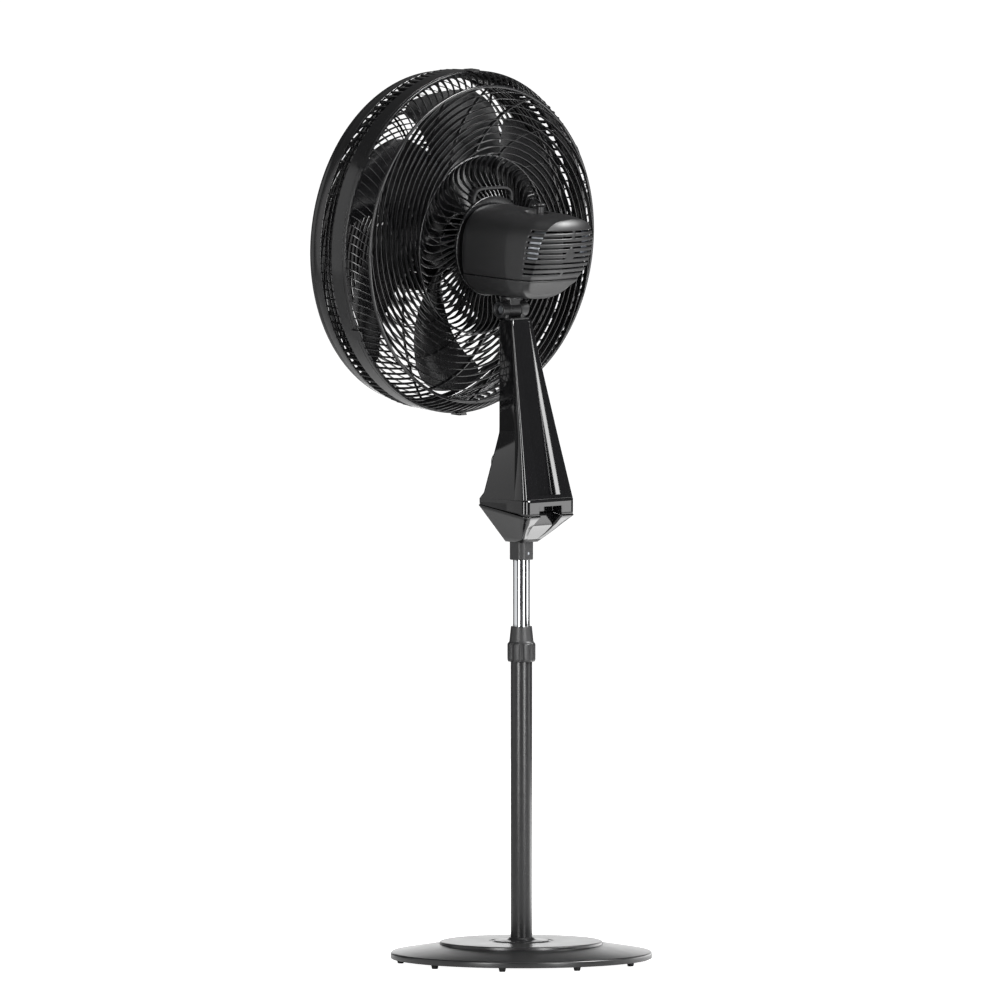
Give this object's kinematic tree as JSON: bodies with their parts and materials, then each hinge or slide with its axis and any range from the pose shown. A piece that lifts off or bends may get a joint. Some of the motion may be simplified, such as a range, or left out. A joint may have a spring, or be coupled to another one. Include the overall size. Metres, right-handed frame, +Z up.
{
  "type": "pedestal fan",
  "caption": "Pedestal fan: round weighted base, telescopic mast, tapered control column and a tilting, oscillating caged blade head with rear motor housing.",
  "frame": {"origin": "on the mast's axis at floor level, 7 mm under the base screw's flat head", "axes": "+Z up the mast; the air leaves the fan towards -Y; +X to the right as seen from the front"},
  "size_m": [0.527, 0.4244, 1.3643],
  "materials": {
    "paint": "satin black powder coat",
    "rubber": "matt black rubber",
    "zinc_steel": "zinc-plated steel",
    "grip_plastic": "satin moulded black",
    "chrome": "polished chrome",
    "gloss_plastic": "high gloss black",
    "housing_plastic": "fine matt black",
    "winding": "laminated core with copper winding",
    "guard_plastic": "semi-gloss black",
    "blade_plastic": "semi-gloss black"
  },
  "bodies": {
    "base": {"base_disc": "paint", "foot_01": "rubber", "foot_02": "rubber", "foot_03": "rubber", "foot_04": "rubber", "foot_05": "rubber", "foot_06": "rubber", "foot_07": "rubber", "foot_08": "rubber", "foot_09": "rubber", "foot_10": "rubber", "foot_ring": "paint", "base_flange": "paint", "base_washer": "zinc_steel", "base_hand_screw": "grip_plastic", "lower_tube": "paint", "clamp_sleeve": "grip_plastic"},
    "lock_nut": {"lock_nut": "grip_plastic"},
    "mast": {"upper_tube": "chrome", "column_collar": "grip_plastic", "collar_screw": "zinc_steel", "column_shell": "gloss_plastic", "column_back_cover": "gloss_plastic", "column_skirt": "gloss_plastic", "tube_socket": "grip_plastic", "cord_bush": "rubber", "speed_switch": "housing_plastic", "capacitor": "housing_plastic", "tilt_fork": "grip_plastic", "tilt_bolt": "zinc_steel", "tilt_nut": "zinc_steel"},
    "speed_knob": {"speed_knob": "grip_plastic"},
    "neck": {"pivot_neck": "grip_plastic", "pivot_arm": "zinc_steel"},
    "head": {"housing_top": "housing_plastic", "housing_bottom": "housing_plastic", "motor_frame": "zinc_steel", "motor_rear_plate": "zinc_steel", "stator": "winding", "bearing_front": "zinc_steel", "bearing_rear": "zinc_steel", "gearbox": "housing_plastic", "rear_grille": "guard_plastic", "front_grille": "guard_plastic", "front_cap": "gloss_plastic", "guard_clip_1": "guard_plastic", "guard_clip_2": "guard_plastic", "guard_clip_3": "guard_plastic", "guard_clip_4": "guard_plastic", "guard_clip_5": "guard_plastic", "guard_clip_6": "guard_plastic", "guard_nut": "grip_plastic", "carry_handle": "housing_plastic"},
    "blades": {"impeller": "blade_plastic", "blade_nut": "blade_plastic", "shaft": "zinc_steel", "rotor": "zinc_steel"},
    "oscillation_knob": {"oscillation_knob": "grip_plastic"},
    "crank": {"oscillation_crank": "zinc_steel"},
    "link": {"oscillation_link": "zinc_steel"}
  },
  "joints": [
    {"name": "height", "type": "slide", "parent": "base", "child": "mast", "axis": [0, 0, 1], "range_m": [-0.09, 0.18]},
    {"name": "lock_nut_turn", "type": "hinge", "parent": "base", "child": "lock_nut", "pos_m": [0, 0, 0.488], "axis": [0, 0, 1], "range_deg": [0, 120]},
    {"name": "speed_turn", "type": "hinge", "parent": "mast", "child": "speed_knob", "pos_m": [0, -0.04, 0.764], "axis": [0, -1, 0], "range_deg": [0, 180]},
    {"name": "tilt", "type": "hinge", "parent": "mast", "child": "neck", "pos_m": [0, -0.022, 1], "axis": [-1, 0, 0], "range_deg": [-13, 17]},
    {"name": "oscillation", "type": "hinge", "parent": "neck", "child": "head", "pos_m": [0, -0.022, 1], "axis": [0, 0.0523, 0.9986], "range_deg": [-40, 40]},
    {"name": "fan_spin", "type": "hinge", "parent": "head", "child": "blades", "pos_m": [0, -0.01714, 1.09267], "axis": [0, -0.9986, 0.0523], "continuous": true},
    {"name": "oscillation_switch", "type": "slide", "parent": "head", "child": "oscillation_knob", "axis": [0, 0.0523, 0.9986], "range_m": [-0.008, 0]},
    {"name": "crank_turn", "type": "hinge", "parent": "head", "child": "crank", "pos_m": [0.009, 0.03879, 1.05169], "axis": [0, 0.0523, 0.9986], "range_deg": [-91, 91]},
    {"name": "link_swing", "type": "hinge", "parent": "crank", "child": "link", "pos_m": [0.025, 0.03827, 1.0417], "axis": [0, 0.0523, 0.9986], "range_deg": [-91, 91]}
  ],
  "couplings": [
    {"joint": "crank_turn", "follows": "oscillation", "ratio": -2.25},
    {"joint": "link_swing", "follows": "oscillation", "ratio": 2.25}
  ]
}
